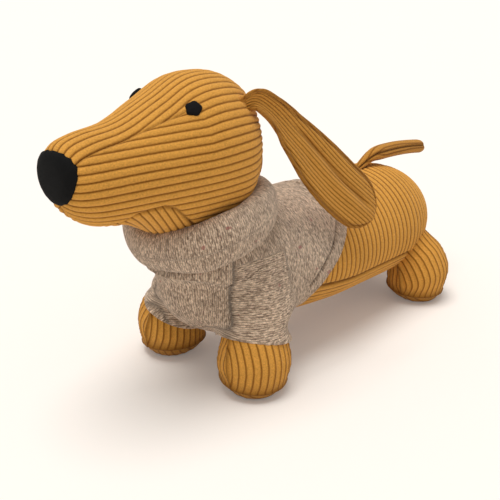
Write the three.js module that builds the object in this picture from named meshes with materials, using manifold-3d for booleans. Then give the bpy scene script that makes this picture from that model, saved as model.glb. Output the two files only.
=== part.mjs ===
// A weighted fabric door stop: a long stuffed dog in wide-wale corduroy that wears a knitted
// roll-neck jumper. Lengths are in millimetres, +Z is up, the nose points along -X and the dog's
// left side is -Y. The filling and the sealed bag of sand in the torso are part of the torso solid.
import * as THREE from 'three';
import { LoftGeometry } from 'three/addons/geometries/LoftGeometry.js';
import { mergeVertices } from 'three/addons/utils/BufferGeometryUtils.js';
import Module from 'manifold-3d';

const wasm = await Module();
wasm.setup();

// Cloth
const walePitch = 5;
const waleDepth = 1.3;
const clearance = 0.35;
const knitThickness = 3.2;

// Torso
const torsoLength = 268;
const shoulderWidth = 78;
const shoulderHeight = 86;
const rumpWidth = 98;
const rumpHeight = 91;
const chestRise = 34.5;
const bellyRise = 17.5;
const chestRound = 50;
const rumpRound = 64;

// Legs
const frontLegSetback = 34;
const wheelbase = 198;
const track = 84;
const footDiameter = 47;
const soleDiameter = 26;
const ankleDiameter = 33;
const frontLegHeight = 77;
const rearLegHeight = 61.5;
const legLean = 17;
const frontLegSweep = 10;

// Head and neck
const headLength = 148;
const skullHeight = 80;
const skullWidth = 84;
const headOverhang = 84;
const headRise = 52;
const neckDiameter = 64;
const neckLean = 8;

// Nose and eyes
const noseReach = 15;
const noseWidth = 36;
const noseHeight = 31;
const noseDrop = 1.5;
const patchThickness = 1.2;
const eyeDiameter = 9.5;
const eyeSetback = 83;
const eyeSpread = 26;

// Ears
const earLength = 140;
const earWidth = 40;
const earRootWidth = 15;
const earThickness = 9;
const earSetback = 129;
const earSpread = 31;
const earRise = 25;
const earDrop = 98;
const earSplay = 27;
const earBow = 3;

// Tail
const tailLength = 93;
const tailDiameter = 11.5;
const tailSetback = 194;

// Jumper
const cuffRise = 37;
const hemSetback = 103;
const hemLean = 39;
const collarHeight = 27;
const collarRoll = 17;
const collarTilt = 16;
const collarRise = 115.5;

// Derived places
const torsoGap = waleDepth / 2 + clearance;
const knitOuter = torsoGap + knitThickness;
const chestAxis = chestRise + shoulderHeight / 2;
const rumpAxis = bellyRise + rumpHeight / 2;
const frontLegX = frontLegSetback;
const rearLegX = frontLegX + wheelbase;
const shoulderTop = chestRise + shoulderHeight;
const headAxis = shoulderTop + headRise;
const neckX = frontLegSetback - neckLean;

const corduroy = { color: 0xc48a3a, roughness: 0.95, metalness: 0 };
const knit = { color: 0xaf9b89, roughness: 1, metalness: 0 };
const blackThread = { color: 0x0c0b0b, roughness: 0.8, metalness: 0 };

// Share of the full section at a distance from a rounded end
function endShare(distance, reach) {
  const inside = Math.min(Math.max(distance / reach, 0), 1);
  return Math.max(Math.sqrt(1 - (1 - inside) ** 2), 0.03);
}

// A smooth curve through stations, each a list of up to three numbers
function throughStations(stations) {
  const curve = new THREE.CatmullRomCurve3(stations.map((station) => new THREE.Vector3(...station)));
  return (t) => curve.getPoint(t);
}

// One oval section of a stuffed shape, grown outwards along the surface by grow
function sectionAt(shape, t, grow) {
  const step = 1e-3;
  const before = shape(Math.max(t - step, 0));
  const after = shape(Math.min(t + step, 1));
  const here = shape(t);
  const along = after.centre.clone().sub(before.centre);
  const length = along.length();
  const swell = (after.halfWidth + after.halfHeight - before.halfWidth - before.halfHeight) / 2;
  const slope = Math.hypot(length, swell);
  along.normalize();
  return {
    centre: here.centre.clone().addScaledVector(along, (-grow * swell) / slope),
    along: here.along ?? along,
    across: here.across,
    halfWidth: here.halfWidth + (grow * length) / slope,
    halfHeight: here.halfHeight + (grow * length) / slope,
  };
}

// Lengths along the surface of a shape, from one value of t to another
function surfaceLengths(shape, from, to, count) {
  const lengths = [0];
  let last = shape(from);
  for (let i = 1; i <= count; i++) {
    const next = shape(THREE.MathUtils.lerp(from, to, i / count));
    const swell = (next.halfWidth + next.halfHeight - last.halfWidth - last.halfHeight) / 2;
    lengths.push(lengths[i - 1] + Math.hypot(next.centre.distanceTo(last.centre), swell));
    last = next;
  }
  return lengths;
}

// Values of t whose sections lie evenly along the surface
function evenSteps(shape, count, from = 0, to = 1) {
  const fine = 400;
  const lengths = surfaceLengths(shape, from, to, fine);
  return Array.from({ length: count + 1 }, (_, k) => {
    const wanted = (lengths[fine] * k) / count;
    const above = Math.max(1, lengths.findIndex((length) => length >= wanted - 1e-9));
    const part = (wanted - lengths[above - 1]) / (lengths[above] - lengths[above - 1]);
    return THREE.MathUtils.lerp(from, to, (above - 1 + part) / fine);
  });
}

// The value of t where a measure of the section's centre reaches a value
function stepWhere(shape, measure, value) {
  let [low, high] = [0, 1];
  for (let i = 0; i < 30; i++) {
    const middle = (low + high) / 2;
    if (measure(shape(middle).centre) < value) low = middle;
    else high = middle;
  }
  return low;
}

// A closed loft through the sections of a shape at each step. The ripple says how far a point of
// the surface stands out, from its row and its column.
function stuffed(shape, steps, columns, { grow = 0, ripple = () => 0 } = {}) {
  const widest = Math.max(...steps.map((t) => shape(t).halfHeight));
  const sections = steps.map((t, row) => {
    const { centre, along, across, halfWidth, halfHeight } = sectionAt(shape, t, grow);
    const upwards = along.clone().cross(across).normalize();
    const width = upwards.clone().cross(along).normalize();
    const fade = Math.min(1, (1.6 * halfHeight) / widest);
    return Array.from({ length: columns }, (_, column) => {
      const angle = (2 * Math.PI * column) / columns;
      const stand = ripple(row, column) * fade;
      return centre.clone()
        .addScaledVector(width, Math.cos(angle) * (halfWidth + stand))
        .addScaledVector(upwards, Math.sin(angle) * (halfHeight + stand));
    });
  });
  return new LoftGeometry(sections, { capStart: true, capEnd: true });
}

// Wales that run along a shape: a crest and a groove by turns round each section
function ribbed(shape, rows, perimeter) {
  const ripple = (row, column) => waleDepth * (column % 2 === 0 ? 0.5 : -0.5);
  return stuffed(shape, evenSteps(shape, rows), 2 * Math.round(perimeter / walePitch), { ripple });
}

// A plain shape, grown by some millimetres
function plain(shape, rows, columns, grow) {
  return toSolid(stuffed(shape, evenSteps(shape, rows), columns, { grow }));
}

// Booleans
function toSolid(geometry) {
  const bare = new THREE.BufferGeometry();
  bare.setAttribute('position', geometry.getAttribute('position'));
  bare.setIndex(geometry.getIndex());
  const merged = mergeVertices(bare, 1e-4);
  return new wasm.Manifold(new wasm.Mesh({
    numProp: 3,
    vertProperties: new Float32Array(merged.getAttribute('position').array),
    triVerts: new Uint32Array(merged.getIndex().array),
  }));
}

function toGeometry(solid) {
  const mesh = solid.getMesh();
  const geometry = new THREE.BufferGeometry();
  geometry.setAttribute('position', new THREE.BufferAttribute(mesh.vertProperties, 3));
  geometry.setIndex(new THREE.BufferAttribute(mesh.triVerts, 1));
  geometry.computeVertexNormals();
  return geometry;
}

// Torso: shallower and higher at the chest, full and low at the rump
function torsoShape(t) {
  const x = torsoLength * t;
  const share = endShare(x, chestRound) * endShare(torsoLength - x, rumpRound);
  const back = THREE.MathUtils.smoothstep(x, 0, torsoLength * 0.55);
  return {
    centre: new THREE.Vector3(x, 0, THREE.MathUtils.lerp(chestAxis, rumpAxis, back)),
    along: new THREE.Vector3(1, 0, 0),
    across: new THREE.Vector3(0, 1, 0),
    halfWidth: (share * THREE.MathUtils.lerp(shoulderWidth, rumpWidth, back)) / 2,
    halfHeight: (share * THREE.MathUtils.lerp(shoulderHeight, rumpHeight, back)) / 2,
  };
}

// Head: stations from nose to nape, as shares of its length, height and width
const headOutline = [
  [0, -0.04, 0.08, 0.08], [0.013, -0.045, 0.34, 0.31], [0.055, -0.08, 0.49, 0.44],
  [0.135, -0.11, 0.63, 0.54], [0.285, -0.135, 0.735, 0.68], [0.475, -0.08, 0.91, 0.87],
  [0.655, -0.045, 1.11, 1], [0.79, -0.094, 1.19, 0.98], [0.905, -0.11, 1.025, 0.8],
  [0.98, -0.09, 0.6, 0.45], [1, -0.09, 0.1, 0.1],
];
const headSpine = throughStations(headOutline.map(([along, rise, high]) => [along, rise, high]));
const headBreadth = throughStations(headOutline.map(([along, , , wide]) => [along, 0, wide]));

function headShape(t) {
  const [along, rise, high] = headSpine(t).toArray();
  return {
    centre: new THREE.Vector3(headLength * along - headOverhang, 0, headAxis + skullHeight * rise),
    along: new THREE.Vector3(1, 0, 0),
    across: new THREE.Vector3(0, 1, 0),
    halfWidth: (skullWidth * headBreadth(t).z) / 2,
    halfHeight: (skullHeight * high) / 2,
  };
}

// Neck: a short tube from inside the shoulders into the head
function neckShape(t) {
  return {
    centre: new THREE.Vector3(neckX - neckLean * t, 0, THREE.MathUtils.lerp(chestAxis, headAxis, t)),
    across: new THREE.Vector3(0, 1, 0),
    halfWidth: neckDiameter / 2,
    halfHeight: neckDiameter / 2,
  };
}

// Legs: a flat sole, a round foot, a narrower ankle, and a top that leans in under the torso
const legOutline = [
  [0, soleDiameter / 2, 0], [0.07, footDiameter * 0.39, 0], [0.2, footDiameter * 0.48, 0.03],
  [0.36, footDiameter / 2, 0.12], [0.58, footDiameter * 0.4, 0.4],
];

function legShape(x, side, height, sweep) {
  const station = throughStations([...legOutline, [1, ankleDiameter / 2, 1]]);
  const leanWay = new THREE.Vector3(sweep, -side * legLean, height * 0.7).normalize();
  return (t) => {
    const [rise, half, lean] = station(t).toArray();
    return {
      centre: new THREE.Vector3(x + sweep * lean, side * (track / 2 - legLean * lean), height * rise),
      along: new THREE.Vector3(0, 0, 1).lerp(leanWay, THREE.MathUtils.smoothstep(t, 0, 0.6)).normalize(),
      across: new THREE.Vector3(1, 0, 0),
      halfWidth: half,
      halfHeight: half,
    };
  };
}

// Ears: long flat drops that sweep back and down from a narrow pleated root
function earShape(side) {
  const root = new THREE.Vector3(earSetback - headOverhang, side * earSpread, headAxis + earRise);
  const fall = Math.sqrt(Math.max(earLength ** 2 - earDrop ** 2 - earSplay ** 2, 1));
  const tip = root.clone().add(new THREE.Vector3(fall, side * earSplay, -earDrop));
  const along = tip.clone().sub(root).normalize();
  const across = new THREE.Vector3(0, side, 0.1).cross(along).normalize();
  return (t) => {
    const distance = earLength * t;
    const widening = THREE.MathUtils.smoothstep(t, 0, 0.8);
    const share = endShare(earLength - distance, earWidth * 0.6) * endShare(distance + 2, 6);
    return {
      centre: root.clone().lerp(tip, t).addScaledVector(across, -side * earBow * Math.sin(Math.PI * t)),
      along,
      across,
      halfWidth: (share * THREE.MathUtils.lerp(earRootWidth, earWidth, widening)) / 2,
      halfHeight: (share * earThickness) / 2,
    };
  };
}

// Tail: a thin tube sewn into the back seam and lying along the rump
function tailShape(t) {
  const seat = rumpAxis + rumpHeight / 2 + tailDiameter / 2 + torsoGap;
  return {
    centre: new THREE.Vector3(
      tailSetback + tailLength * t, 0, seat - 4 * tailDiameter * Math.max(0, 0.12 - t) - 8 * t * t),
    along: new THREE.Vector3(1, 0, 0),
    across: new THREE.Vector3(0, 1, 0),
    halfWidth: (tailDiameter / 2) * endShare(tailLength * (1 - t), tailDiameter / 2),
    halfHeight: (tailDiameter / 2) * endShare(tailLength * (1 - t), tailDiameter / 2),
  };
}

// Roll collar: a fat roll round the neck, lower at the throat
function collarGeometry(grow) {
  const rings = 24;
  const points = 8;
  const tilt = new THREE.Matrix4().makeRotationY(-THREE.MathUtils.degToRad(collarTilt));
  const inner = neckDiameter / 2 + torsoGap + collarRoll / 2;
  const sections = Array.from({ length: rings + 1 }, (_, i) => {
    const turn = (2 * Math.PI * (i % rings)) / rings;
    return Array.from({ length: points }, (_, k) => {
      const angle = (-2 * Math.PI * k) / points;
      const reach = inner + Math.cos(angle) * (collarRoll / 2 + grow);
      return new THREE.Vector3(
        Math.cos(turn) * reach, Math.sin(turn) * reach, Math.sin(angle) * (collarHeight / 2 + grow))
        .applyMatrix4(tilt)
        .add(new THREE.Vector3(neckX, 0, collarRise));
    });
  });
  return new LoftGeometry(sections);
}

// Everything behind the hem, which leans back as it rises
function behindHem(setback) {
  const block = 600;
  const geometry = new THREE.BoxGeometry(block, block, block);
  geometry.translate(block / 2, 0, 0);
  geometry.rotateY(THREE.MathUtils.degToRad(hemLean));
  geometry.translate(setback, 0, shoulderTop / 2 + bellyRise / 2);
  return toSolid(geometry);
}

const dog = new THREE.Group();

function addPiece(name, geometry, finish) {
  const mesh = new THREE.Mesh(geometry, new THREE.MeshStandardMaterial(finish));
  mesh.name = name;
  dog.add(mesh);
}

// Plain solids that the neighbours are cut with
const torsoColumns = 16;
const legPerimeter = 0.62 * Math.PI * footDiameter;
const legColumns = Math.round(legPerimeter / walePitch);
const torsoCut = plain(torsoShape, 24, torsoColumns, torsoGap + 0.2);
const headCut = plain(headShape, 10, 20, torsoGap + 0.4);
const neckCut = plain((t) => neckShape(1.1 * t - 0.1), 1, 16, torsoGap + 0.4);

// Torso: smooth under the jumper, and wales as rings from there to the rump
const bareFrom = (hemSetback - shoulderHeight * 0.45) / torsoLength;
const bareLength = surfaceLengths(torsoShape, bareFrom, 1, 100)[100];
const hiddenRows = 6;
const torsoSteps = evenSteps(torsoShape, hiddenRows, 0, bareFrom).slice(0, -1)
  .concat(evenSteps(torsoShape, 2 * Math.round(bareLength / walePitch), bareFrom, 1));
const torsoRipple = (row) => (row < hiddenRows ? 0 : waleDepth * (row % 2 === 0 ? 0.5 : -0.5));
addPiece('torso', stuffed(torsoShape, torsoSteps, torsoColumns, { ripple: torsoRipple }), corduroy);

// Head and neck
addPiece('head', ribbed(headShape, 10, (Math.PI * (skullHeight + skullWidth)) / 2), corduroy);
const neck = toSolid(ribbed(neckShape, 1, Math.PI * neckDiameter));
addPiece('neck', toGeometry(neck.subtract(torsoCut).subtract(headCut)), corduroy);

// Nose patch: a stitched cap over the tip of the muzzle
const noseRegion = new THREE.SphereGeometry(1, 12, 8);
noseRegion.scale(noseReach, noseWidth / 2, noseHeight / 2);
noseRegion.translate(-headOverhang, 0, headAxis - noseDrop);
const noseCap = plain(headShape, 10, 20, torsoGap + 0.4 + patchThickness);
addPiece('nose_patch', toGeometry(noseCap.intersect(toSolid(noseRegion)).subtract(headCut)), blackThread);

// Tail
const tail = toSolid(ribbed(tailShape, 9, Math.PI * tailDiameter));
addPiece('tail', toGeometry(tail.subtract(torsoCut)), corduroy);

const sides = [['left', -1], ['right', 1]];
for (const [name, side] of sides) {
  // Eyes: stitched domes on the brow
  const eye = new THREE.SphereGeometry(eyeDiameter / 2, 8, 6);
  const face = headShape(stepWhere(headShape, (centre) => centre.x, eyeSetback - headOverhang));
  const turn = Math.asin(Math.min(eyeSpread / face.halfWidth, 1));
  eye.translate(face.centre.x, side * eyeSpread, face.centre.z + face.halfHeight * Math.cos(turn));
  addPiece(`eye_${name}`, toGeometry(toSolid(eye).subtract(headCut)), blackThread);

  // Ears
  const ear = toSolid(ribbed(earShape(side), 9, 2 * earWidth));
  addPiece(`ear_${name}`, toGeometry(ear.subtract(headCut)), corduroy);

  // Legs
  const legs = [
    ['front', legShape(frontLegX, side, frontLegHeight, frontLegSweep)],
    ['rear', legShape(rearLegX, side, rearLegHeight, 0)],
  ];
  for (const [end, shape] of legs) {
    const leg = toSolid(ribbed(shape, 6, legPerimeter));
    addPiece(`${end}_leg_${name}`, toGeometry(leg.subtract(torsoCut)), corduroy);
  }
}

// Roll collar, flattened where it lies on the shoulders
const shoulders = plain(torsoShape, 14, torsoColumns, knitOuter);
const shoulderCut = plain(torsoShape, 14, torsoColumns, knitOuter + clearance);
const collar = toSolid(collarGeometry(0)).subtract(shoulderCut).subtract(headCut).subtract(neckCut);
addPiece('jumper_roll_collar', toGeometry(collar), knit);

// Jumper: a knitted tube over the shoulders and up the neck, cut off at the hem
const collarStep = (collarRise - chestAxis) / (headAxis - chestAxis);
const neckTube = plain((t) => neckShape(t * collarStep), 1, 16, knitOuter)
  .subtract(toSolid(collarGeometry(clearance)));
let jumper = shoulders.add(neckTube.subtract(headCut)).subtract(behindHem(hemSetback));
jumper = jumper.subtract(torsoCut).subtract(neckCut);
for (const [name, side] of sides) {
  const leg = legShape(frontLegX, side, frontLegHeight, frontLegSweep);
  const cuff = stepWhere(leg, (centre) => centre.z, cuffRise);
  const sleeve = (t) => leg(THREE.MathUtils.lerp(cuff, 1, t));
  const outer = plain(sleeve, 2, legColumns, knitOuter);
  const inner = plain(leg, 6, legColumns, torsoGap + 0.2);
  addPiece(`jumper_sleeve_${name}`, toGeometry(outer.subtract(inner).subtract(torsoCut)), knit);
  jumper = jumper.subtract(plain(leg, 6, legColumns, knitOuter + 2 * clearance));
}
addPiece('jumper_body', toGeometry(jumper), knit);

// The feet stand on z = 0, and the origin is under the middle of the whole
const doorStop = new THREE.Group();
doorStop.add(dog);
const reach = new THREE.Box3().setFromObject(dog);
const middle = reach.getCenter(new THREE.Vector3());
dog.position.set(-middle.x, -middle.y, -reach.min.z);

export default doorStop;
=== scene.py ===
"""A weighted door stop: a long stuffed corduroy dog in a knitted roll-neck jumper.

Lengths in the forms are in millimetres in the maker's frame: x from the chest towards the rump,
y across with the dog's left side negative, z up from the floor. Meshes are in metres.
"""

import bpy
import numpy as np
from bpy.props import FloatProperty, FloatVectorProperty, PointerProperty
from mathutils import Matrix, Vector


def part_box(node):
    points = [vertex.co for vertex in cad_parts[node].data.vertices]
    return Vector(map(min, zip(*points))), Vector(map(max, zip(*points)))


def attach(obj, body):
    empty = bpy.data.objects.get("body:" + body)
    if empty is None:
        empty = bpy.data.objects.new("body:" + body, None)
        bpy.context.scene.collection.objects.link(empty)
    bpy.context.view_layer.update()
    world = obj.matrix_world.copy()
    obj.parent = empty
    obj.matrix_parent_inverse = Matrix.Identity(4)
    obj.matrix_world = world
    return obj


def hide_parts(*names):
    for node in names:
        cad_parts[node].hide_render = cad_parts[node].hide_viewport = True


bl_info = {
    "name": "Corduroy dog door stop",
    "version": (1, 0, 0),
    "blender": (4, 5, 0),
    "location": "3D View > Sidebar > Door stop",
    "description": "Builds a stuffed corduroy dog in a knitted jumper on a pale studio floor",
    "category": "Object",
}

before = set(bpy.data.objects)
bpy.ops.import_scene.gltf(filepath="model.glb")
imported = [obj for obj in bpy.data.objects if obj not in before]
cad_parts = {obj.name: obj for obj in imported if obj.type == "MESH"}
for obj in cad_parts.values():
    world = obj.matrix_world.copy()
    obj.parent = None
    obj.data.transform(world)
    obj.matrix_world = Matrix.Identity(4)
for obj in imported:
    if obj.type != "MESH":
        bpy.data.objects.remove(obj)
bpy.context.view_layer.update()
MM = 0.001
CHEST_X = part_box("torso")[0].x / MM
NEAR, FAR = -1, 1
SIDES = (("left", NEAR), ("right", FAR))


# Sizes and colours.


def length(name, description, default):
    """A property for a length, in metres."""
    return FloatProperty(
        name=name, description=description, default=default, unit="LENGTH", precision=4
    )


def colour(name, description, default):
    """A property for a colour."""
    return FloatVectorProperty(
        name=name, description=description, default=default, subtype="COLOR", size=3, min=0, max=1
    )


class DoorStopCloth(bpy.types.PropertyGroup):
    """Sizes of the cloths and of their seams."""

    wale_pitch: length("Wale pitch", "From one corduroy rib to the next", 0.005)
    wale_depth: length("Wale depth", "How deep the grooves are between ribs", 0.0010)
    seam_depth: length("Seam depth", "How far a sewn seam pulls in", 0.0018)
    stitch_width: length("Stitch width", "Width of one knitted stitch", 0.0014)
    stitch_height: length("Stitch height", "Height of one knitted stitch", 0.0019)
    knit_thickness: length("Knit thickness", "Thickness of the jumper's cloth", 0.0026)
    hem_band: length("Hem band", "Width of the turned hem", 0.013)


class DoorStopColours(bpy.types.PropertyGroup):
    """Colours of the cloths, the thread and the floor."""

    wale: colour("Wale", "Pile on the crest of a rib", (0.70, 0.335, 0.06))
    # The groove colour is partly the ground cloth's own darker colour and partly painted shade in the
    # grooves between the ribs.
    groove: colour("Groove", "Ground between the ribs", (0.225, 0.08, 0.006))
    yarn_light: colour("Light yarn", "Pale strand of the marled yarn", (0.90, 0.70, 0.52))
    yarn_mid: colour("Yarn", "Main strand of the marled yarn", (0.56, 0.405, 0.285))
    yarn_dark: colour("Dark yarn", "Dark strand of the marled yarn", (0.22, 0.148, 0.10))
    fleck: colour("Fleck", "Rare red fleck in the yarn", (0.36, 0.10, 0.085))
    thread: colour("Thread", "Stitched nose and eyes", (0.0045, 0.0045, 0.0045))
    floor: colour("Floor", "Studio floor", (0.975, 0.93, 0.885))


def cloth_mm(name):
    """One of the cloth sizes, in millimetres."""
    return getattr(bpy.context.scene.door_stop_cloth, name) / MM


def cloth_colours():
    """The colours set in the panel."""
    return bpy.context.scene.door_stop_colours


# Curves and forms.


def smooth(value, low, high):
    """0 at low, 1 at high, and an even S between. Low may be the greater."""
    t = np.clip((np.asarray(value, float) - low) / (high - low), 0, 1)
    return t * t * (3 - 2 * t)


def blend(a, b, share):
    """From a to b."""
    return a + (b - a) * share


def end_share(distance, reach):
    """Share of the full section at a distance from a rounded end."""
    inside = np.clip(np.asarray(distance, float) / reach, 0, 1)
    return np.sqrt(np.maximum(1 - (1 - inside) ** 2, 0))


def squarer(value, power):
    """A sine or cosine made fuller by a power below 1."""
    return np.sign(value) * np.abs(value) ** power


def hump(value, centre, reach):
    """1 at the centre, falling to 0 on both sides."""
    return np.exp(-(((np.asarray(value, float) - centre) / reach) ** 2))


def through(stations, t):
    """Points at t, from 0 to 1, on a centripetal curve through the stations."""
    p = np.asarray(stations, float)
    p = np.vstack([2 * p[0] - p[1], p, 2 * p[-1] - p[-2]])
    steps = np.maximum(np.linalg.norm(np.diff(p, axis=0), axis=1) ** 0.5, 1e-4)
    place = np.clip(np.asarray(t, float), 0, 1) * (len(stations) - 1)
    k = np.minimum(place.astype(int), len(stations) - 2)
    w = (place - k)[..., None]
    a, b, c, d = p[k], p[k + 1], p[k + 2], p[k + 3]
    before, here, after = steps[k][..., None], steps[k + 1][..., None], steps[k + 2][..., None]
    leave = ((b - a) / before - (c - a) / (before + here) + (c - b) / here) * here
    arrive = ((c - b) / here - (d - b) / (here + after) + (d - c) / after) * here
    bend, turn = 3 * (c - b) - 2 * leave - arrive, 2 * (b - c) + leave + arrive
    return b + leave * w + bend * w**2 + turn * w**3


def even_steps(profile, count, low=0.0, high=1.0):
    """Values of t from low to high that lie evenly along a profile curve."""
    fine = np.linspace(low, high, 1200)
    points = profile(fine)
    run = np.r_[0, np.cumsum(np.linalg.norm(np.diff(points, axis=0), axis=1))]
    return np.interp(np.linspace(0, run[-1], count), run, fine)


def unit(ways):
    """Directions of length 1."""
    return ways / np.maximum(np.linalg.norm(ways, axis=-1, keepdims=True), 1e-9)


def normals(points, round_rows=False):
    """Outward unit normals of a grid whose columns close, and whose rows close too if asked."""
    down = np.gradient(points, axis=0)
    if round_rows:
        down = (np.roll(points, -1, 0) - np.roll(points, 1, 0)) / 2
    across = (np.roll(points, -1, 1) - np.roll(points, 1, 1)) / 2
    return unit(np.cross(down, across))


def evened(ways, reach):
    """Unit directions, each averaged with its neighbours round the row."""
    return unit(sum(np.roll(ways, shift, axis=-2) for shift in range(-reach, reach + 1)))


def arc_round(points):
    """Distance round each row from its first column, and each row's full length."""
    step = np.linalg.norm(np.roll(points, -1, 1) - points, axis=-1)
    run = np.cumsum(step, axis=1)
    return run - step, run[:, -1:]


def arc_from(points, column):
    """Shortest distance round each row from one of its columns."""
    run, whole = arc_round(points)
    away = np.abs(run - run[:, column : column + 1])
    return np.minimum(away, whole - away)


def sample(grid, rows, columns):
    """A smooth reading of a coarse closed grid at places given in rows and columns."""
    def taps(place):
        k = np.floor(place).astype(int)
        w = (place - k)[..., None]
        return k, (
            -0.5 * w + w**2 - 0.5 * w**3,
            1 - 2.5 * w**2 + 1.5 * w**3,
            0.5 * w + 2 * w**2 - 1.5 * w**3,
            -0.5 * w**2 + 0.5 * w**3,
        )

    i, row_weights = taps(rows)
    j, column_weights = taps(columns)
    out = 0
    for a, u in enumerate(row_weights):
        line = grid[np.clip(i + a - 1, 0, grid.shape[0] - 1)]
        for b, v in enumerate(column_weights):
            part = line[:, (j + b - 1) % grid.shape[1]]
            out = out + part * u[:, None] * v[None, :]
    return out


# Meshes.


def to_metres(points):
    """Points as a list of vertices in the part's frame."""
    return (np.asarray(points, float).reshape(-1, 3) + (CHEST_X, 0, 0)) * MM


def lattice(rows, columns, round_rows=False):
    """Quads of a grid whose columns close, and whose rows close too if asked."""
    i = np.arange(rows if round_rows else rows - 1)[:, None]
    j = np.arange(columns)[None, :]
    below, beside = (i + 1) % rows, (j + 1) % columns
    corners = (i * columns + j, below * columns + j, below * columns + beside, i * columns + beside)
    return np.stack([np.broadcast_to(c, (len(i), columns)) for c in corners], -1).reshape(-1, 4)


def solid(name, points, marks=None, round_rows=False):
    """A closed mesh object from a grid of points, with named values on its points."""
    rows, columns = points.shape[:2]
    vertices = to_metres(points)
    faces = lattice(rows, columns, round_rows).tolist()
    marks = marks or {}
    flat = {key: value.reshape((rows * columns,) + value.shape[2:]) for key, value in marks.items()}
    if not round_rows:
        ends = points[[0, -1]].mean(axis=1)
        vertices = np.vstack([vertices, to_metres(ends)])
        first, last, beside = rows * columns, rows * columns + 1, (np.arange(columns) + 1) % columns
        low = (rows - 1) * columns
        faces += [[first, j, beside[j]] for j in range(columns)]
        faces += [[last, low + beside[j], low + j] for j in range(columns)]
        for key, value in marks.items():
            flat[key] = np.concatenate([flat[key], value[[0, -1]].mean(axis=1)])
    mesh = bpy.data.meshes.new(name)
    mesh.from_pydata(vertices.tolist(), [], faces)
    for key, value in flat.items():
        kind = "FLOAT" if value.ndim == 1 else "FLOAT_VECTOR"
        layer = mesh.attributes.new(key, kind, "POINT")
        field = "value" if value.ndim == 1 else "vector"
        layer.data.foreach_set(field, np.ascontiguousarray(value, float).ravel())
    mesh.polygons.foreach_set("use_smooth", [True] * len(mesh.polygons))
    mesh.update()
    piece = bpy.data.objects.new(name, mesh)
    bpy.context.scene.collection.objects.link(piece)
    return piece


FILLING_PRESSURE, FILLING_FRAMES, FILLING_QUALITY, CLOTH_MASS = 4.0, 20, 6, 0.25


def plumped(points, held, cap):
    """How far the filling pushes each point of a coarse closed grid, at most the cap."""
    scene = bpy.context.scene
    scene.frame_set(1)
    blank = solid("filling", points)
    group = blank.vertex_groups.new(name="held")
    flat = np.r_[np.broadcast_to(held, points.shape[:2]).ravel(), 1.0, 1.0]
    for index in np.flatnonzero(flat > 0.01):
        group.add([int(index)], float(flat[index]), "REPLACE")
    cloth = blank.modifiers.new("Filling", "CLOTH")
    cloth.settings.quality = FILLING_QUALITY
    cloth.settings.mass = CLOTH_MASS
    cloth.settings.use_pressure = True
    cloth.settings.uniform_pressure_force = FILLING_PRESSURE
    cloth.settings.vertex_group_mass = "held"
    cloth.settings.effector_weights.gravity = 0
    cloth.point_cache.frame_start = 1
    cloth.point_cache.frame_end = FILLING_FRAMES
    for step in range(1, FILLING_FRAMES + 1):
        scene.frame_set(step)
    settled = blank.evaluated_get(bpy.context.evaluated_depsgraph_get())
    place = np.empty(len(settled.data.vertices) * 3)
    settled.data.vertices.foreach_get("co", place)
    start = to_metres(points)
    move = (place.reshape(-1, 3)[: len(start)] - start) / MM
    bpy.data.objects.remove(blank)
    scene.frame_set(1)
    far = np.linalg.norm(move, axis=1, keepdims=True)
    move *= np.minimum(far, cap) / np.maximum(far, 1e-9)
    return move.reshape(points.shape)


def finished(piece, slot, material, *nodes, fill=None):
    """Gives a piece its finish and its body, and hides the solid that it stands for."""
    piece.data.materials.append(material)
    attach(piece, "root")
    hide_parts(*nodes)
    return piece


def covered(node, points, marks, fill):
    """A filled corduroy cover that stands for a solid."""
    return finished(solid(f"{node}_cover", points, marks), "corduroy", corduroy(), node, fill=fill)


def covered_pair(nodes, points, marks, fill):
    """The near cover and its mirror image."""
    for name, side in SIDES:
        covered(nodes.format(name), *on_side(side, points, marks), fill)


def on_side(side, points, marks):
    """The near side's grid and marks, or the far side's: turned over, with faces still outwards."""
    if side == NEAR:
        return points, marks
    return points[:, ::-1] * (1, -1, 1), {key: value[:, ::-1] for key, value in marks.items()}


# Corduroy.


RIB_POWER, RIB_MEAN, SEAM_FLATTENS = 0.7, 0.6, 0.75


def ribs(across):
    """Height of the pile, 0 in a groove and 1 on a crest, at a place across the cloth."""
    return np.abs(np.sin(np.pi * across / cloth_mm("wale_pitch"))) ** RIB_POWER


def sewn(distance, reach=1.5):
    """1 on a seam, falling to 0 beside it."""
    return np.exp(-((np.asarray(distance, float) / reach) ** 2))


def corded(points, across, along, seam, share=1.0):
    """The grid with its ribs and seams raised, and the marks that its material reads."""
    pile = ribs(across) * (1 - SEAM_FLATTENS * seam) * share
    rise = (pile - RIB_MEAN * share) * cloth_mm("wale_depth") - seam * cloth_mm("seam_depth")
    out = points + normals(points) * rise[..., None]
    run = np.stack([across, along, np.full_like(across, share)], -1)
    return out, {"seam": seam, "run": run}


TORSO_LENGTH, CHEST_ROUND, RUMP_ROUND = 268, 50, 64
SHOULDER_WIDTH, SHOULDER_HEIGHT, CHEST_RISE = 78, 86, 34.5
RUMP_WIDTH, RUMP_HEIGHT, BELLY_RISE = 98, 91, 17.5
CHEST_AXIS = CHEST_RISE + SHOULDER_HEIGHT / 2
RUMP_AXIS = BELLY_RISE + RUMP_HEIGHT / 2
HEAD_LENGTH, SKULL_HEIGHT, SKULL_WIDTH, HEAD_OVERHANG, HEAD_AXIS = 148, 80, 84, 84, 172.5
NECK_X, NECK_RADIUS, NECK_LEAN = 26, 32, 8
HEAD_OUTLINE = (
    (-0.004, -0.036, 0.1, 0.09), (0.006, -0.037, 0.33, 0.3), (0.045, -0.06, 0.54, 0.46),
    (0.13, -0.1, 0.69, 0.56), (0.285, -0.125, 0.785, 0.69), (0.475, -0.08, 0.925, 0.87),
    (0.655, -0.05, 1.105, 1), (0.79, -0.097, 1.18, 0.98), (0.905, -0.11, 1.02, 0.8),
    (0.98, -0.09, 0.6, 0.45), (1, -0.09, 0.1, 0.1),
)


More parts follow.
